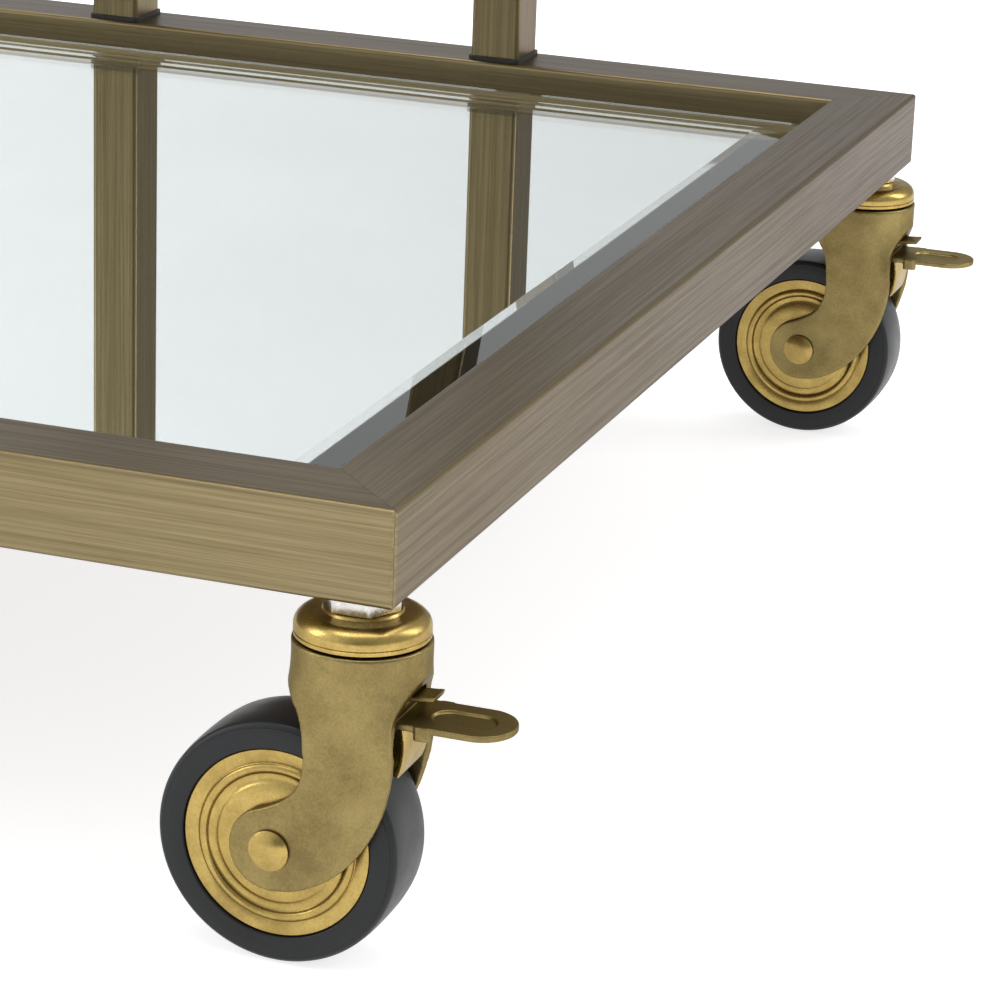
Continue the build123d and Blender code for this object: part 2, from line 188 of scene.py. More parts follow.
class BrassSettings(bpy.types.PropertyGroup):
    brushed_light: bpy.props.FloatVectorProperty(
        name="Brushed brass, bright hairlines",
        description="Colour of the tube where the brushing cut through the patina",
        default=(0.315, 0.25, 0.135),
        min=0,
        max=1,
        subtype="COLOR",
    )
    brushed_dark: bpy.props.FloatVectorProperty(
        name="Brushed brass, patina",
        description="Colour of the tube where the patina was left",
        default=(0.155, 0.12, 0.062),
        min=0,
        max=1,
        subtype="COLOR",
    )
    grazing_tint: bpy.props.FloatVectorProperty(
        name="Grazing tint",
        description="Tint of the tube's reflection seen along its surface",
        default=(0.5, 0.53, 0.66),
        min=0,
        max=1,
        subtype="COLOR",
    )
    satin_light: bpy.props.FloatVectorProperty(
        name="Satin brass",
        description="Main colour of the casters' pressed brass",
        default=(0.30, 0.232, 0.092),
        min=0,
        max=1,
        subtype="COLOR",
    )
    satin_dark: bpy.props.FloatVectorProperty(
        name="Satin brass, mottle",
        description="Colour of the mottled patina on the casters' pressed brass",
        default=(0.19, 0.14, 0.056),
        min=0,
        max=1,
        subtype="COLOR",
    )
    bright_light: bpy.props.FloatVectorProperty(
        name="Bright brass",
        description="Main colour of the caps, wheel covers, rivets and brake leaves",
        default=(0.50, 0.36, 0.115),
        min=0,
        max=1,
        subtype="COLOR",
    )
    bright_dark: bpy.props.FloatVectorProperty(
        name="Bright brass, mottle",
        description="Colour of the light tarnish on the bright pieces",
        default=(0.34, 0.235, 0.075),
        min=0,
        max=1,
        subtype="COLOR",
    )


class MirrorSettings(bpy.types.PropertyGroup):
    bevel_width: bpy.props.FloatProperty(
        name="Bevel width",
        description="Width of the polished bevel round the pane",
        default=19.5 * MM,
        min=1 * MM,
        unit="LENGTH",
    )
    bevel_drop: bpy.props.FloatProperty(
        name="Bevel drop",
        description="How far the bevel falls to the pane's edge",
        default=1.5 * MM,
        min=0.1 * MM,
        unit="LENGTH",
    )
    silver_thickness: bpy.props.FloatProperty(
        name="Silvering",
        description="Thickness of the silvered coat under the pane",
        default=0.15 * MM,
        min=0.05 * MM,
        unit="LENGTH",
    )
    air_gap: bpy.props.FloatProperty(
        name="Air gap",
        description="Gap that keeps the glass off the silvering",
        default=0.05 * MM,
        min=0.01 * MM,
        unit="LENGTH",
    )
    glass_round: bpy.props.FloatProperty(
        name="Glass edges",
        description="Rounding of the pane's edges and of the bevel's inner line",
        default=0.12 * MM,
        min=0.01 * MM,
        unit="LENGTH",
    )
    coat_round: bpy.props.FloatProperty(
        name="Silvering edges",
        description="Rounding of the silvered coat's edges",
        default=0.03 * MM,
        min=0.01 * MM,
        unit="LENGTH",
    )
    glass_tint: bpy.props.FloatVectorProperty(
        name="Glass tint",
        description="Tint of the clear glass",
        default=(0.965, 0.985, 0.98),
        min=0,
        max=1,
        subtype="COLOR",
    )


class WheelSettings(bpy.types.PropertyGroup):
    steps: bpy.props.IntProperty(
        name="Steps",
        description="Flats round each turned piece",
        default=128,
        min=24,
    )
    lip_round: bpy.props.FloatProperty(
        name="Tyre lip",
        description="Rounding of the tyre's lip beside the wheel cover",
        default=0.5 * MM,
        min=0.1 * MM,
        unit="LENGTH",
    )
    seam_depth: bpy.props.FloatProperty(
        name="Moulding seam",
        description="Depth of the fine seam round each side of the tyre",
        default=0.12 * MM,
        min=0.02 * MM,
        unit="LENGTH",
    )
    cover_radius: bpy.props.FloatProperty(
        name="Cover radius",
        description="Radius of the pressed wheel cover",
        default=24.3 * MM,
        min=10 * MM,
        unit="LENGTH",
    )
    cover_seat: bpy.props.FloatProperty(
        name="Cover seat",
        description="Depth of the cover's seat below the tyre's side",
        default=1.5 * MM,
        min=0.5 * MM,
        unit="LENGTH",
    )
    cover_sheet: bpy.props.FloatProperty(
        name="Cover sheet",
        description="Thickness of the cover at its rim",
        default=0.75 * MM,
        min=0.3 * MM,
        unit="LENGTH",
    )
    bead_radius: bpy.props.FloatProperty(
        name="Bead radius",
        description="Radius of the cover's raised bead",
        default=19.4 * MM,
        min=8 * MM,
        unit="LENGTH",
    )
    dome_radius: bpy.props.FloatProperty(
        name="Dome radius",
        description="Radius of the shallow dome in the middle of the cover",
        default=15.9 * MM,
        min=6 * MM,
        unit="LENGTH",
    )


class PressingSettings(bpy.types.PropertyGroup):
    fork_voxel: bpy.props.FloatProperty(
        name="Fork mesh size",
        description="Mesh size that the fork's soft pressed edges are worked in",
        default=0.5 * MM,
        min=0.2 * MM,
        unit="LENGTH",
    )
    pedal_voxel: bpy.props.FloatProperty(
        name="Pedal mesh size",
        description="Mesh size that the pedal's and shoe's soft edges are worked in",
        default=0.22 * MM,
        min=0.1 * MM,
        unit="LENGTH",
    )
    rounding: bpy.props.IntProperty(
        name="Rounding",
        description="How many times the pressed edges are smoothed",
        default=6,
        min=1,
    )


class CapSettings(bpy.types.PropertyGroup):
    seat_radius: bpy.props.FloatProperty(
        name="Nut seat",
        description="Radius of the raised seat under the nut",
        default=9.6 * MM,
        min=6 * MM,
        unit="LENGTH",
    )
    dish_depth: bpy.props.FloatProperty(
        name="Dish",
        description="Depth of the shallow dish round the nut's seat",
        default=0.9 * MM,
        min=0.1 * MM,
        unit="LENGTH",
    )
    bulge_width: bpy.props.FloatProperty(
        name="Bulge width",
        description="How far the rolled bulge reaches in from the cap's edge",
        default=4.2 * MM,
        min=1 * MM,
        unit="LENGTH",
    )
    bulge_height: bpy.props.FloatProperty(
        name="Bulge height",
        description="Height of the rolled bulge",
        default=3.6 * MM,
        min=1 * MM,
        unit="LENGTH",
    )
    nut_round: bpy.props.FloatProperty(
        name="Nut edges",
        description="Rounding of the nut's edges",
        default=0.45 * MM,
        min=0.05 * MM,
        unit="LENGTH",
    )


# ---- small helpers for meshes ------------------------------------------------------------
def settings(name):
    """A group of this cart's settings, by its name on the scene."""
    return getattr(bpy.context.scene, f"bar_cart_{name}")


def clear_selection():
    """Leave edit mode and deselect every object, the frame's own among them."""
    if bpy.context.object and bpy.context.object.mode != "OBJECT":
        bpy.ops.object.mode_set(mode="OBJECT")
    bpy.ops.object.select_all(action="DESELECT")


def activate(piece):
    """Make one object the only selected and the active one."""
    clear_selection()
    piece.select_set(True)
    bpy.context.view_layer.objects.active = piece


def close_mesh(piece, merge=1e-6):
    """Merge doubles and point every face outwards."""
    activate(piece)
    bpy.ops.object.mode_set(mode="EDIT")
    bpy.ops.mesh.select_all(action="SELECT")
    bpy.ops.mesh.remove_doubles(threshold=merge)
    bpy.ops.mesh.normals_make_consistent(inside=False)
    bpy.ops.object.mode_set(mode="OBJECT")


def apply_modifier(piece, kind, **values):
    """Add one modifier with these settings and apply it."""
    activate(piece)
    modifier = piece.modifiers.new(kind.title(), kind)
    for name, value in values.items():
        setattr(modifier, name, value)
    bpy.ops.object.modifier_apply(modifier=modifier.name)


def smooth(piece, degrees=35):
    """Shade a finished piece smooth, with its sharp edges kept."""
    activate(piece)
    bpy.ops.object.shade_smooth_by_angle(angle=math.radians(degrees))


def arc(centre, radius, start, end, count):
    """Points of an arc in an outline, from one angle to another in degrees."""
    angles = [math.radians(start + (end - start) * step / count) for step in range(count + 1)]
    return [(centre[0] + radius * math.cos(a), centre[1] + radius * math.sin(a)) for a in angles]


def turned(name, outline, centre, axis):
    """Draw a closed outline of (radius, distance along the axis) and spin it round the axis."""
    across = Z_AXIS if abs(axis.z) < 0.5 else X_AXIS
    points = [centre + across * radius + axis * along for radius, along in outline]
    clear_selection()
    bpy.ops.mesh.primitive_plane_add(size=MM, location=points[0])
    piece = bpy.context.object
    piece.name = name
    bpy.ops.object.mode_set(mode="EDIT")
    bpy.ops.mesh.select_mode(type="VERT")
    bpy.ops.mesh.select_all(action="SELECT")
    bpy.ops.mesh.merge(type="CENTER")
    for start, end in zip(points, points[1:] + points[:1]):
        bpy.ops.mesh.extrude_region_move(TRANSFORM_OT_translate={"value": end - start})
    bpy.ops.mesh.select_all(action="SELECT")
    bpy.ops.mesh.remove_doubles(threshold=1e-6)
    bpy.ops.mesh.select_all(action="SELECT")
    bpy.ops.mesh.spin(steps=settings("wheel").steps, angle=FULL_TURN, center=centre, axis=axis)
    bpy.ops.object.mode_set(mode="OBJECT")
    bpy.ops.object.transform_apply(location=True, rotation=True, scale=True)
    close_mesh(piece)
    return piece


def select_faces(piece, keep):
    """In edit mode, select the faces for which keep(face) is true."""
    activate(piece)
    bpy.ops.object.mode_set(mode="EDIT")
    bpy.ops.mesh.select_mode(type="FACE")
    bpy.ops.mesh.select_all(action="DESELECT")
    bpy.ops.object.mode_set(mode="OBJECT")
    for face in piece.data.polygons:
        face.select = keep(face)
    bpy.ops.object.mode_set(mode="EDIT")


def merged_copy(node, name):
    """A new piece that starts as a frame node's own shape, with its triangles merged."""
    source = frame["nodes"][node]
    piece = bpy.data.objects.new(name, source.data.copy())
    bpy.context.scene.collection.objects.link(piece)
    piece.data.materials.clear()
    close_mesh(piece, merge=1e-5)
    return piece


def belongs(piece, node, body):
    """Let a piece stand in for a frame node and ride on its body."""
    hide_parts(node)
    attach(piece, body)


def copies_on_casters(pattern, part, material):
    """Copy a piece made on the Z axis to every caster, each copy with its own mesh."""
    pattern.data.materials.clear()
    pattern.data.materials.append(material)
    copies = {}
    for corner, place in CASTERS.items():
        piece = bpy.data.objects.new(f"{corner}_{part}", pattern.data.copy())
        bpy.context.scene.collection.objects.link(piece)
        piece.data.transform(place)
        copies[corner] = piece
    bpy.data.objects.remove(pattern)
    return copies


def fit_on_casters(pattern, part, body, node, material):
    """Copy a piece to every caster, in place of that caster's own node."""
    for corner, piece in copies_on_casters(pattern, part, material).items():
        belongs(piece, f"{corner}_{node}", f"{corner}_{body}")


def finish_nodes(material, *nodes):
    """Give the frame's own nodes a finish."""
    for node in nodes:
        data = frame["nodes"][node].data
        data.materials.clear()
        data.materials.append(material)


# ---- shader groups ---------------------------------------------------------------------------
def node(tree, kind, links=None, **values):
    """Add a shader node; links are its inputs, each a number, colour or another node's socket."""
    made = tree.nodes.new(kind)
    for name, value in values.items():
        setattr(made, name, value)
    for name, value in (links or {}).items():
        if isinstance(value, bpy.types.NodeSocket):
            tree.links.new(value, made.inputs[name])
        else:
            made.inputs[name].default_value = value
    return made


def start_group(name, inputs, outputs):
    """A shader group with named inputs and outputs, built once."""
    tree = bpy.data.node_groups.new(name, "ShaderNodeTree")
    for label, kind, default in inputs:
        socket = tree.interface.new_socket(label, in_out="INPUT", socket_type=kind)
        socket.default_value = default
    for label, kind in outputs:
        tree.interface.new_socket(label, in_out="OUTPUT", socket_type=kind)
    return tree, tree.nodes.new("NodeGroupInput"), tree.nodes.new("NodeGroupOutput")


def brushing_group():
    """Long hairlines and softer bands, drawn out along one axis of the object."""
    name = "Brushed hairlines"
    if name in bpy.data.node_groups:
        return bpy.data.node_groups[name]
    tree, given, out = start_group(
        name,
        [("Stretch", "NodeSocketVector", (10, 1000, 1000)), ("Patch size", "NodeSocketFloat", 14.0)],
        [("Hairlines", "NodeSocketFloat"), ("Bands", "NodeSocketFloat"), ("Patches", "NodeSocketFloat")],
    )
    place = node(tree, "ShaderNodeTexCoord").outputs["Object"]
    drawn = node(
        tree, "ShaderNodeVectorMath", {0: place, 1: given.outputs["Stretch"]}, operation="MULTIPLY"
    )
    fine = node(
        tree, "ShaderNodeTexNoise",
        {"Vector": drawn.outputs[0], "Scale": 2.6, "Detail": 4.0, "Roughness": 0.75},
    )
    broad = node(
        tree, "ShaderNodeTexNoise",
        {"Vector": drawn.outputs[0], "Scale": 0.8, "Detail": 3.0, "Roughness": 0.6},
    )
    patches = node(
        tree, "ShaderNodeTexNoise",
        {"Vector": place, "Scale": given.outputs["Patch size"], "Detail": 3.0, "Roughness": 0.5},
    )
    tree.links.new(fine.outputs["Fac"], out.inputs["Hairlines"])
    tree.links.new(broad.outputs["Fac"], out.inputs["Bands"])
    tree.links.new(patches.outputs["Fac"], out.inputs["Patches"])
    return tree


def mottle_group():
    """Cloudy patina with a fine speckle, the same in every direction."""
    name = "Mottled patina"
    if name in bpy.data.node_groups:
        return bpy.data.node_groups[name]
    tree, given, out = start_group(
        name,
        [("Cloud size", "NodeSocketFloat", 90.0), ("Speckle size", "NodeSocketFloat", 1400.0)],
        [("Clouds", "NodeSocketFloat"), ("Speckle", "NodeSocketFloat"), ("Mixed", "NodeSocketFloat")],
    )
    place = node(tree, "ShaderNodeTexCoord").outputs["Object"]
    clouds = node(
        tree, "ShaderNodeTexNoise",
        {"Vector": place, "Scale": given.outputs["Cloud size"], "Detail": 5.0, "Roughness": 0.62},
    )
    speckle = node(
        tree, "ShaderNodeTexNoise",
        {"Vector": place, "Scale": given.outputs["Speckle size"], "Detail": 3.0, "Roughness": 0.7},
    )
    mixed = node(
        tree, "ShaderNodeMix",
        {0: 0.4, 2: clouds.outputs["Fac"], 3: speckle.outputs["Fac"]},
        data_type="FLOAT",
    )
    tree.links.new(clouds.outputs["Fac"], out.inputs["Clouds"])
    tree.links.new(speckle.outputs["Fac"], out.inputs["Speckle"])
    tree.links.new(mixed.outputs[0], out.inputs["Mixed"])
    return tree


def start_material(name, **constants):
    """A material with one Principled shader, and its own constants on that shader's sockets."""
    material = bpy.data.materials.new(name)
    material.use_nodes = True
    shader = material.node_tree.nodes["Principled BSDF"]
    for label, value in constants.items():
        shader.inputs[label.replace("_", " ").title().replace("Ior", "IOR")].default_value = value
    return material, material.node_tree, shader


def use_group(tree, group, **inputs):
    """Place a shader group in a material with its own values."""
    placed = node(tree, "ShaderNodeGroup", node_tree=group)
    for label, value in inputs.items():
        placed.inputs[label.replace("_", " ").capitalize()].default_value = value
    return placed


def ranged(tree, value, low, high, to_low, to_high):
    """Map a value from one range to another, clamped."""
    return node(
        tree, "ShaderNodeMapRange",
        {"Value": value, "From Min": low, "From Max": high, "To Min": to_low, "To Max": to_high},
    ).outputs["Result"]


def blended(tree, factor, first, second):
    """Mix two colours by a factor."""
    return node(
        tree, "ShaderNodeMix",
        {0: factor, 6: (*first, 1) if len(first) == 3 else first, 7: (*second, 1)}, data_type="RGBA",
    ).outputs[2]


def bumped(tree, shader, height, strength, depth):
    """Raise the surface by a height, as a fine bump."""
    bump = node(tree, "ShaderNodeBump", {"Height": height, "Strength": strength, "Distance": depth})
    tree.links.new(bump.outputs["Normal"], shader.inputs["Normal"])


def brushed_brass(axis_name, stretch):
    """Antique brass tube, brushed along one axis."""
    name = f"Brushed brass along {axis_name}"
    if name in bpy.data.materials:
        return bpy.data.materials[name]
    brass = settings("brass")
    material, tree, shader = start_material(
        name, metallic=1.0, specular_tint=(*brass.grazing_tint, 1)
    )
    grain = use_group(tree, brushing_group(), stretch=stretch, patch_size=9.0)
    bands = ranged(tree, grain.outputs["Bands"], 0.38, 0.62, 0.0, 1.0)
    hairs = ranged(tree, grain.outputs["Hairlines"], 0.38, 0.62, 0.0, 1.0)
    lines = node(tree, "ShaderNodeMix", {0: 0.5, 2: bands, 3: hairs}, data_type="FLOAT").outputs[0]
    tone = node(
        tree, "ShaderNodeMix", {0: 0.25, 2: lines, 3: grain.outputs["Patches"]}, data_type="FLOAT"
    ).outputs[0]
    colour = blended(tree, tone, tuple(brass.brushed_dark), tuple(brass.brushed_light))
    tree.links.new(colour, shader.inputs["Base Color"])
    tree.links.new(ranged(tree, lines, 0.0, 1.0, 0.42, 0.3), shader.inputs["Roughness"])
    bumped(tree, shader, grain.outputs["Hairlines"], 0.35, 0.00008)
    return material


def along_x():
    """Brass brushed along the cart's length."""
    return brushed_brass("X", (9, 1100, 1100))


def along_y():
    """Brass brushed along the cart's depth."""
    return brushed_brass("Y", (1100, 9, 1100))


def along_z():
    """Brass brushed upwards."""
    return brushed_brass("Z", (1100, 1100, 9))


def mottled_brass(name, light, dark, roughness, cloud_size, tint):
    """Plated brass with a mottled patina, from its two colours and its range of roughness."""
    if name in bpy.data.materials:
        return bpy.data.materials[name]
    material, tree, shader = start_material(name, metallic=1.0, specular_tint=(*tint, 1))
    patina = use_group(tree, mottle_group(), cloud_size=cloud_size, speckle_size=1500.0)
    tone = ranged(tree, patina.outputs["Mixed"], 0.38, 0.62, 0.0, 1.0)
    colour = blended(tree, tone, tuple(dark), tuple(light))
    tree.links.new(colour, shader.inputs["Base Color"])
    rough = ranged(tree, patina.outputs["Clouds"], 0.35, 0.65, roughness[1], roughness[0])
    tree.links.new(rough, shader.inputs["Roughness"])
    bumped(tree, shader, patina.outputs["Speckle"], 0.25, 0.00008)
    return material


def satin_brass():
    """The duller plating of the forks and pedals."""
    brass = settings("brass")
    return mottled_brass(
        "Satin brass", brass.satin_light, brass.satin_dark, (0.34, 0.44), 70.0, (0.5, 0.5, 0.5)
    )


def bright_brass():
    """The brighter plating of the caps, covers, rivets and brake leaves."""
    brass = settings("brass")
    return mottled_brass(
        "Bright brass", brass.bright_light, brass.bright_dark, (0.24, 0.34), 110.0, (0.7, 0.7, 0.7)
    )


def plain_finish(name, light, dark, roughness, metallic=0.0, cloud_size=60.0, bump=0.2, **constants):
    """A finish for rubber, steel, board or plastic, clouded and speckled at its own scale."""
    if name in bpy.data.materials:
        return bpy.data.materials[name]
    material, tree, shader = start_material(name, metallic=metallic, **constants)
    grain = use_group(tree, mottle_group(), cloud_size=cloud_size, speckle_size=cloud_size * 20)
    tone = ranged(tree, grain.outputs["Mixed"], 0.36, 0.64, 0.0, 1.0)
    tree.links.new(blended(tree, tone, dark, light), shader.inputs["Base Color"])
    rough = ranged(tree, grain.outputs["Clouds"], 0.35, 0.65, roughness[0], roughness[1])
    tree.links.new(rough, shader.inputs["Roughness"])
    bumped(tree, shader, grain.outputs["Speckle"], bump, 0.0001)
    return material


def tyre_rubber():
    return plain_finish(
        "Tyre rubber", (0.016, 0.0165, 0.018), (0.010, 0.0105, 0.0115), (0.34, 0.46),
        cloud_size=80.0, specular_ior_level=0.3,
    )


# Near-black pads under the uprights' feet: partly real rubber and partly painted shadow, as their dark
# colour also stands for the contact shade round each upright's foot.
def pad_rubber_and_painted_shadow():
    return plain_finish("Pad rubber", (0.030, 0.027, 0.024), (0.018, 0.016, 0.014), (0.5, 0.65))


def zinc_steel():
    return plain_finish(
        "Zinc plate", (0.86, 0.85, 0.82), (0.36, 0.34, 0.33), (0.2, 0.4), metallic=1.0, cloud_size=420.0
    )


def dark_steel():
    return plain_finish(
        "Dark steel", (0.20, 0.19, 0.18), (0.11, 0.105, 0.10), (0.34, 0.5), metallic=1.0, cloud_size=200.0
    )


def backing_board():
    return plain_finish(
        "Backing board", (0.17, 0.12, 0.075), (0.10, 0.07, 0.045), (0.6, 0.75), cloud_size=35.0, bump=0.4
    )


def hub_plastic():
    return plain_finish("Hub plastic", (0.06, 0.06, 0.062), (0.04, 0.04, 0.042), (0.4, 0.5))


def clear_glass():
    """Clear plate glass with a faint tint and the lightest of smudges."""
    name = "Clear glass"
    if name in bpy.data.materials:
        return bpy.data.materials[name]
    material, tree, shader = start_material(name, metallic=0.0, transmission_weight=1.0, ior=1.52)
    smudges = use_group(tree, mottle_group(), cloud_size=16.0, speckle_size=600.0)
    tint = settings("mirror").glass_tint
    deeper = tuple(channel * 0.985 for channel in tint)
    tone = ranged(tree, smudges.outputs["Clouds"], 0.4, 0.6, 0.0, 1.0)
    tree.links.new(blended(tree, tone, deeper, tuple(tint)), shader.inputs["Base Color"])
    rough = ranged(tree, smudges.outputs["Clouds"], 0.5, 0.75, 0.0, 0.02)
    tree.links.new(rough, shader.inputs["Roughness"])
    return material


def silvering():
    """The bright coat under a mirror."""
    name = "Mirror silver"
    if name in bpy.data.materials:
        return bpy.data.materials[name]
    material, tree, shader = start_material(name, metallic=1.0)
    clouds = use_group(tree, mottle_group(), cloud_size=12.0, speckle_size=400.0)
    tone = ranged(tree, clouds.outputs["Clouds"], 0.35, 0.65, 0.0, 1.0)
    colour = blended(tree, tone, (0.90, 0.915, 0.915), (0.93, 0.94, 0.94))
    tree.links.new(colour, shader.inputs["Base Color"])
    rough = ranged(tree, clouds.outputs["Clouds"], 0.4, 0.7, 0.01, 0.03)
    tree.links.new(rough, shader.inputs["Roughness"])
    return material


# ---- operators -----------------------------------------------------------------------------------
class BARCART_OT_stage(bpy.types.Operator):
    """Set the pale floor, the studio light and the camera"""

    bl_idname = "bar_cart.stage"
    bl_label = "Stage"

    def execute(self, context):
        stage = settings("stage")
        self.lay_floor(stage)
        self.light_room(stage)
        self.hang_lamp("Overhead lamp", (0.2, 0.1, 2.6), (0.0, 0.0, 0.2), 2.4, 2.4, stage.key_power)
        self.hang_lamp("Left lamp", (-1.9, -1.2, 1.5), (0.2, 0.0, 0.3), 0.9, 1.6, stage.side_power)
        self.hang_lamp("Right lamp", (2.0, 0.9, 1.3), (0.3, 0.0, 0.2), 0.7, 1.4, stage.side_power)
        self.stand_camera(context, stage)
        context.scene.view_settings.view_transform = "Standard"
        return {"FINISHED"}

    def lay_floor(self, stage):
        clear_selection()
        bpy.ops.mesh.primitive_grid_add(x_subdivisions=8, y_subdivisions=8, size=24)
        floor = bpy.context.object
        floor.name = "Studio_floor"
        material, tree, shader = start_material("Pale floor")
        patches = use_group(tree, mottle_group(), cloud_size=3.0, speckle_size=60.0)
        tone = ranged(tree, patches.outputs["Clouds"], 0.3, 0.7, 0.0, 1.0)
        paler = tuple(min(1.0, channel * 1.01) for channel in stage.floor_colour)
        tree.links.new(blended(tree, tone, tuple(stage.floor_colour), paler), shader.inputs["Base Color"])
        shader.inputs["Roughness"].default_value = 0.9
        shader.inputs["Emission Color"].default_value = (1, 1, 1, 1)
        shader.inputs["Emission Strength"].default_value = stage.floor_glow
        floor.data.materials.append(material)

    def light_room(self, stage):
        """A pale studio all round, brighter to the left and dim towards the camera."""
        world = bpy.data.worlds.new("Studio")
        bpy.context.scene.world = world
        world.use_nodes = True
        tree = world.node_tree
        heading = node(tree, "ShaderNodeTexCoord").outputs["Generated"]
        towards = node(
            tree, "ShaderNodeVectorMath", {0: heading, 1: stage.dim_heading}, operation="DOT_PRODUCT"
        ).outputs["Value"]
        dim = ranged(tree, towards, 0.88, 0.99, stage.backdrop_light, stage.room_light)
        parts = node(tree, "ShaderNodeSeparateXYZ", {0: heading})
        side = ranged(tree, parts.outputs["X"], -0.55, 0.05, 1.3, 0.62)
        level = node(tree, "ShaderNodeMath", {0: dim, 1: side}, operation="MULTIPLY").outputs[0]
        background = tree.nodes["Background"]
        background.inputs["Color"].default_value = (0.97, 1.0, 1.0, 1)
        tree.links.new(level, background.inputs["Strength"])

    def hang_lamp(self, name, place, target, width, height, power):
        lamp = bpy.data.lights.new(name, "AREA")
        lamp.shape = "RECTANGLE"
        lamp.size = width
        lamp.size_y = height
        lamp.energy = power
        holder = bpy.data.objects.new(name, lamp)
        bpy.context.scene.collection.objects.link(holder)
        holder.location = place
        aim = Vector(target) - Vector(place)
        holder.rotation_euler = aim.to_track_quat("-Z", "Y").to_euler()

    def stand_camera(self, context, stage):
        data = bpy.data.cameras.new("Camera")
        data.sensor_width = 36
        data.lens = stage.camera_lens
        data.clip_start = 0.01
        camera = bpy.data.objects.new("Camera", data)
        context.scene.collection.objects.link(camera)
        turn = Matrix.Rotation(stage.camera_yaw, 4, "Z")
        tilt = Matrix.Rotation(math.radians(90) - stage.camera_tilt, 4, "X")
        roll = Matrix.Rotation(stage.camera_roll, 4, "Z")
        camera.matrix_world = Matrix.Translation(stage.camera_place) @ turn @ tilt @ roll
        context.scene.camera = camera


class BARCART_OT_tube_frame(bpy.types.Operator):
    """Brush the trays' tubes and the uprights along their length"""

    bl_idname = "bar_cart.tube_frame"
    bl_label = "Tube frame"

    def execute(self, context):
        for tray in TRAYS:
            finish_nodes(along_x(), f"{tray}_front_rail", f"{tray}_back_rail")
            finish_nodes(along_y(), f"{tray}_left_rail", f"{tray}_right_rail")
        finish_nodes(along_z(), "front_uprights", "back_uprights")
        # The pads' near-black is partly painted shadow: it also stands for the contact shade at each
        # upright's foot.
        finish_nodes(pad_rubber_and_painted_shadow(), "upright_pads")
        return {"FINISHED"}


class BARCART_OT_mirrors(bpy.types.Operator):
    """Build each tray's bevelled glass pane and the silver coat under it"""

    bl_idname = "bar_cart.mirrors"
    bl_label = "Mirrors"

    def execute(self, context):
        mirror = settings("mirror")
        for tray in TRAYS:
            low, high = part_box(f"{tray}_mirror")
            coat_top = low.z + mirror.silver_thickness
            glass_bottom = coat_top + mirror.air_gap
            bevel_foot = high.z - mirror.bevel_drop
            glass = self.plate(f"{tray}_mirror_glass", low, high, glass_bottom, bevel_foot)
            select_faces(glass, lambda face: face.normal.z > 0.9)
            bpy.ops.mesh.inset(thickness=mirror.bevel_width, depth=0)
            bpy.ops.transform.translate(value=(0, 0, mirror.bevel_drop))
            apply_modifier(
                glass, "BEVEL", width=mirror.glass_round, segments=2, limit_method="ANGLE", angle_limit=0.02
            )
            glass.data.materials.append(clear_glass())
            coat = self.plate(f"{tray}_mirror_silver", low, high, low.z, coat_top)
            apply_modifier(coat, "BEVEL", width=mirror.coat_round, segments=1)
            coat.data.materials.append(silvering())
            for piece in (glass, coat):
                smooth(piece, 1)
                belongs(piece, f"{tray}_mirror", "root")
        return {"FINISHED"}

    def plate(self, name, low, high, bottom, top):
        """A flat plate with the outline of a box, from one height to another."""
        clear_selection()
        middle = (low + high) / 2
        bpy.ops.mesh.primitive_plane_add(size=1, location=(middle.x, middle.y, bottom))
        piece = bpy.context.object
        piece.name = name
        piece.scale = (high.x - low.x, high.y - low.y, 1)
        bpy.ops.object.transform_apply(location=True, rotation=True, scale=True)
        bpy.ops.object.mode_set(mode="EDIT")
        bpy.ops.mesh.select_all(action="SELECT")
        bpy.ops.mesh.extrude_region_move(TRANSFORM_OT_translate={"value": (0, 0, top - bottom)})
        bpy.ops.object.mode_set(mode="OBJECT")
        close_mesh(piece)
        return piece


class BARCART_OT_tyres(bpy.types.Operator):
    """Turn the rubber tyres, with their rounded shoulders and moulding seams"""

    bl_idname = "bar_cart.tyres"
    bl_label = "Tyres"

    def execute(self, context):
        wheel = settings("wheel")
        low, high = pattern_box("tyre")
        radius = (high.z - low.z) / 2
        half = (high.y - low.y) / 2
        seat = half - wheel.cover_seat
        seam = wheel.seam_depth
        lip_edge = wheel.cover_radius + 0.25 * MM
        lip = lip_edge + wheel.lip_round
        shoulder = radius - 2.1 * MM
        crown_rise = 0.35 * MM
        side = [(wheel.cover_radius - 2 * MM, seat), (lip_edge, seat)]
        side += arc((lip, half - 0.1 * MM - wheel.lip_round), wheel.lip_round, 180, 90, 5)
        side += [(lip + 1.8 * MM, half), (shoulder - 0.3 * MM, half), (shoulder, half - seam)]
        side += [(shoulder + 0.25 * MM, half - 0.6 * seam)]
        side += arc((shoulder, half - 2 * MM), radius - crown_rise - shoulder, 80, 8, 8)
        crown = [(radius - crown_rise * (along / half) ** 2, along) for along in (6 * MM, 3 * MM)]
        outline = side + crown + [(radius, 0)]
        outline += [(r, -along) for r, along in reversed(outline[:-1])]
        tyre = turned("tyre", outline, axle_centre(), Y_AXIS)
        smooth(tyre, 40)
        fit_on_casters(tyre, "rubber_tyre", "wheel", "tyre", tyre_rubber())
        return {"FINISHED"}


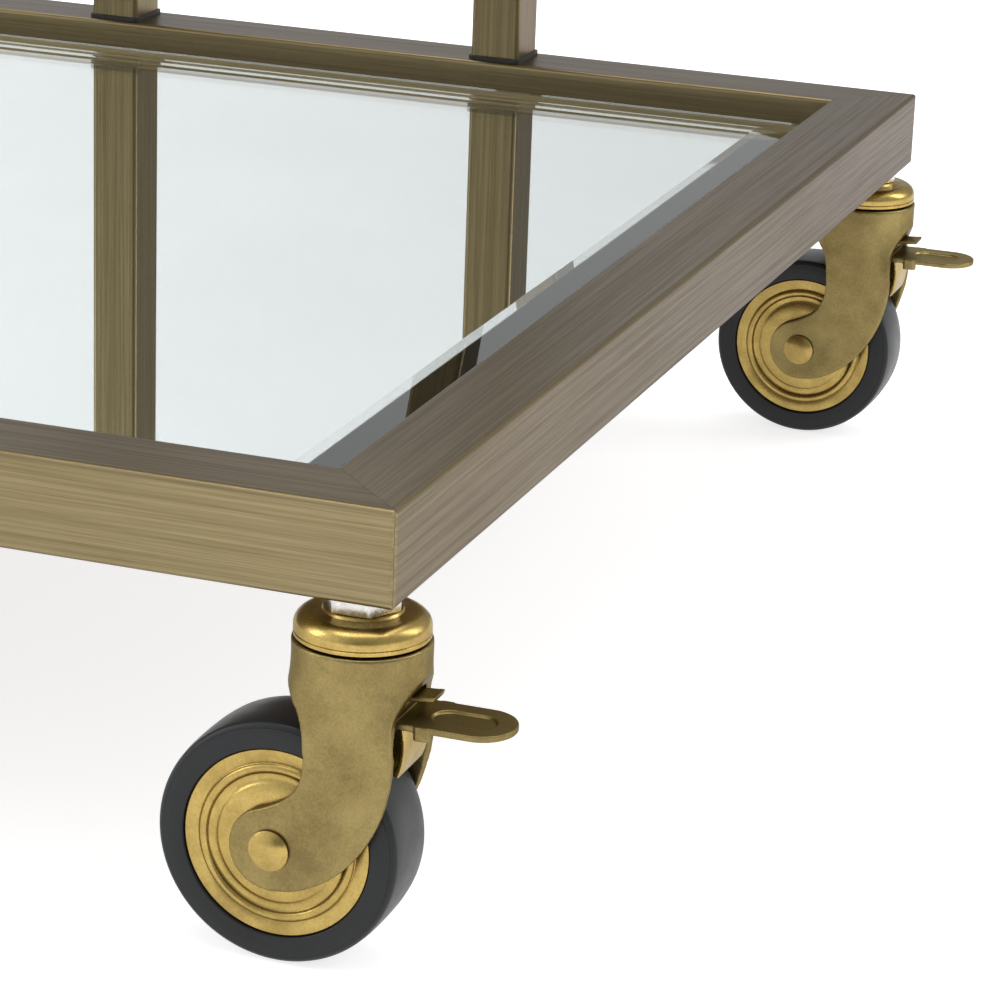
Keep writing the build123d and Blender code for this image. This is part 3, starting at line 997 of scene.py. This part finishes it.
class BARCART_OT_wheel_covers(bpy.types.Operator):
    """Press the wheel covers: sloping band, raised bead, groove and a shallow dome"""

    bl_idname = "bar_cart.wheel_covers"
    bl_label = "Wheel covers"

    def execute(self, context):
        wheel = settings("wheel")
        low, high = pattern_box("tyre")
        seat = (high.y - low.y) / 2 - wheel.cover_seat
        face = seat + wheel.cover_sheet
        bead, dome = wheel.bead_radius, wheel.dome_radius
        bore = pattern_box("axle")[1].z - axle_centre().z + 0.3 * MM
        outline = [(bore, seat), (wheel.cover_radius, seat)]
        rim = 0.3 * MM
        outline += arc((wheel.cover_radius - rim, face - rim), rim, 0, 90, 4)
        outline += [(bead + 1.45 * MM, face - 0.35 * MM), (bead + 1.35 * MM, face - 0.42 * MM)]
        outline += arc((bead, seat), 1.25 * MM, 20, 165, 14)
        outline += [(bead - 1.6 * MM, seat + 0.1 * MM), (dome + 0.15 * MM, seat + 0.1 * MM)]
        outline += [(dome - 0.25 * MM, face - 0.2 * MM), (dome - 1.0 * MM, face + 0.15 * MM)]
        outline += [(dome - 3.2 * MM, face + 0.55 * MM), (dome - 6.5 * MM, face + 0.9 * MM)]
        outline += [(bore, face + 1.0 * MM)]
        covers = turned("covers", outline, axle_centre(), Y_AXIS)
        apply_modifier(covers, "MIRROR", use_axis=(False, True, False))
        close_mesh(covers)
        smooth(covers, 50)
        fit_on_casters(covers, "pressed_covers", "wheel", "wheel_covers", bright_brass())
        return {"FINISHED"}


class BARCART_OT_rivets(bpy.types.Operator):
    """Turn the axle rivets, with a low dome on each end"""

    bl_idname = "bar_cart.rivets"
    bl_label = "Axle rivets"

    def execute(self, context):
        low, high = pattern_box("axle")
        head = (high.z - low.z) / 2
        tip = high.y
        head_height = 2.2 * MM
        leg_face = tip - head_height
        shank = head - 1.7 * MM
        rise = 1.55 * MM
        edge = 0.25 * MM
        curve = (head ** 2 + rise ** 2) / (2 * rise)
        spread = math.degrees(math.asin(head / curve))
        half = [(shank, 0), (shank, leg_face), (head - edge, leg_face), (head, leg_face + edge)]
        half += arc((0, tip - curve), curve, 90 - spread, 90, 10)
        outline = half + [(r, -along) for r, along in reversed(half[1:])]
        rivet = turned("rivet", outline, axle_centre(), Y_AXIS)
        smooth(rivet, 40)
        fit_on_casters(rivet, "axle_rivet", "caster", "axle", bright_brass())
        return {"FINISHED"}


class BARCART_OT_forks(bpy.types.Operator):
    """Round the pressed forks' edges and give them their satin finish"""

    bl_idname = "bar_cart.forks"
    bl_label = "Forks"

    def execute(self, context):
        press = settings("pressing")
        fork = merged_copy(f"{PATTERN}_fork", "fork")
        fork.data.transform(CASTERS[PATTERN].inverted())
        apply_modifier(fork, "REMESH", mode="VOXEL", voxel_size=press.fork_voxel, adaptivity=0.0)
        apply_modifier(fork, "SMOOTH", factor=0.5, iterations=press.rounding)
        smooth(fork, 60)
        fit_on_casters(fork, "pressed_fork", "caster", "fork", satin_brass())
        return {"FINISHED"}


class BARCART_OT_pedals(bpy.types.Operator):
    """Round the edges of the brake pedals and shoes"""

    bl_idname = "bar_cart.pedals"
    bl_label = "Brake pedals and shoes"

    def execute(self, context):
        press = settings("pressing")
        for node_name, part, finish in (
            ("brake_pedal", "pressed_pedal", satin_brass()),
            ("brake_shoe", "brake_leaf", bright_brass()),
        ):
            piece = merged_copy(f"{PATTERN}_{node_name}", node_name)
            piece.data.transform(CASTERS[PATTERN].inverted())
            apply_modifier(piece, "REMESH", mode="VOXEL", voxel_size=press.pedal_voxel, adaptivity=0.0)
            apply_modifier(piece, "SMOOTH", factor=0.5, iterations=press.rounding)
            smooth(piece, 60)
            fit_on_casters(piece, part, "brake", node_name, finish)
        return {"FINISHED"}


class BARCART_OT_caps(bpy.types.Operator):
    """Spin the domed caps and cut the zinc nuts above the casters"""

    bl_idname = "bar_cart.caps"
    bl_label = "Caps and nuts"

    def execute(self, context):
        cap = self.turned_cap(settings("cap"))
        for piece in copies_on_casters(cap, "domed_cap", bright_brass()).values():
            belongs(piece, "caster_caps", "root")
        nuts = merged_copy("caster_nuts", "bevelled_nuts")
        nut_round = settings("cap").nut_round
        apply_modifier(nuts, "BEVEL", width=nut_round, segments=3, limit_method="ANGLE", angle_limit=0.5)
        smooth(nuts, 40)
        nuts.data.materials.append(zinc_steel())
        belongs(nuts, "caster_nuts", "root")
        return {"FINISHED"}

    def turned_cap(self, shape):
        """One cap on the Z axis: nut seat, shallow dish, rolled bulge and a creased band."""
        low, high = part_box("caster_caps")
        stem = CASTERS[PATTERN].translation
        radius = high.x - stem.x
        top, bottom = high.z, low.z
        floor = bottom + 0.8 * MM
        bore = 5.0 * MM
        dish = top - shape.dish_depth
        bulge = shape.bulge_width
        band_top = top - shape.bulge_height - shape.dish_depth
        crease = (band_top + bottom) / 2
        inset = 0.25 * MM
        edge = 0.3 * MM
        outline = [(bore, floor), (bore, top), (shape.seat_radius, top)]
        outline += [(shape.seat_radius + 0.4 * MM, dish + 0.35 * MM), (radius - bulge - 1 * MM, dish)]
        for step in range(13):
            angle = math.radians(90 - 7.5 * step)
            out = radius - bulge + bulge * math.cos(angle)
            outline.append((out, band_top + shape.bulge_height * math.sin(angle)))
        outline += [(radius, crease + 0.2 * MM), (radius - inset, crease), (radius, crease - 0.2 * MM)]
        outline += [(radius, bottom + edge), (radius - edge, bottom), (radius - 2 * MM, bottom)]
        outline += [(radius - 2.6 * MM, floor)]
        cap = turned("cap", outline, Vector((0, 0, 0)), Z_AXIS)
        smooth(cap, 35)
        return cap


class BARCART_OT_fittings(bpy.types.Operator):
    """Finish the fittings that hold the cart together"""

    bl_idname = "bar_cart.fittings"
    bl_label = "Fittings"

    def execute(self, context):
        for tray in TRAYS:
            finish_nodes(dark_steel(), f"{tray}_ledge_strips")
            finish_nodes(backing_board(), f"{tray}_backing_board")
        finish_nodes(
            dark_steel(), "backing_screws", "upright_plugs", "upright_spigots", "upright_bolts",
            "caster_inserts", "caster_stems",
        )
        finish_nodes(zinc_steel(), "swivel_balls")
        for corner in CASTERS:
            finish_nodes(hub_plastic(), f"{corner}_wheel_hub")
            finish_nodes(dark_steel(), f"{corner}_brake_pin")
        return {"FINISHED"}


class BARCART_PT_build(bpy.types.Panel):
    """Lists the steps that build the cart's looks"""

    bl_label = "Bar Cart"
    bl_idname = "BARCART_PT_build"
    bl_space_type = "VIEW_3D"
    bl_region_type = "UI"
    bl_category = "Bar Cart"

    def draw(self, context):
        for step in STEPS:
            self.layout.operator(step.bl_idname, text=step.bl_label)
        for name in SETTINGS:
            box = self.layout.box()
            group = settings(name)
            for prop in group.__annotations__:
                box.prop(group, prop)


STEPS = (
    BARCART_OT_stage,
    BARCART_OT_tube_frame,
    BARCART_OT_mirrors,
    BARCART_OT_tyres,
    BARCART_OT_wheel_covers,
    BARCART_OT_rivets,
    BARCART_OT_forks,
    BARCART_OT_pedals,
    BARCART_OT_caps,
    BARCART_OT_fittings,
)
SETTINGS = {
    "stage": StageSettings,
    "brass": BrassSettings,
    "mirror": MirrorSettings,
    "wheel": WheelSettings,
    "pressing": PressingSettings,
    "cap": CapSettings,
}


def register():
    for group in SETTINGS.values():
        bpy.utils.register_class(group)
    for name, group in SETTINGS.items():
        setattr(bpy.types.Scene, f"bar_cart_{name}", bpy.props.PointerProperty(type=group))
    for step in STEPS:
        bpy.utils.register_class(step)
    bpy.utils.register_class(BARCART_PT_build)


def unregister():
    bpy.utils.unregister_class(BARCART_PT_build)
    for step in reversed(STEPS):
        bpy.utils.unregister_class(step)
    for name, group in SETTINGS.items():
        delattr(bpy.types.Scene, f"bar_cart_{name}")
        bpy.utils.unregister_class(group)


def main():
    register()
    for step in STEPS:
        getattr(bpy.ops.bar_cart, step.bl_idname.split(".")[1])()


if __name__ == "__main__":
    main()
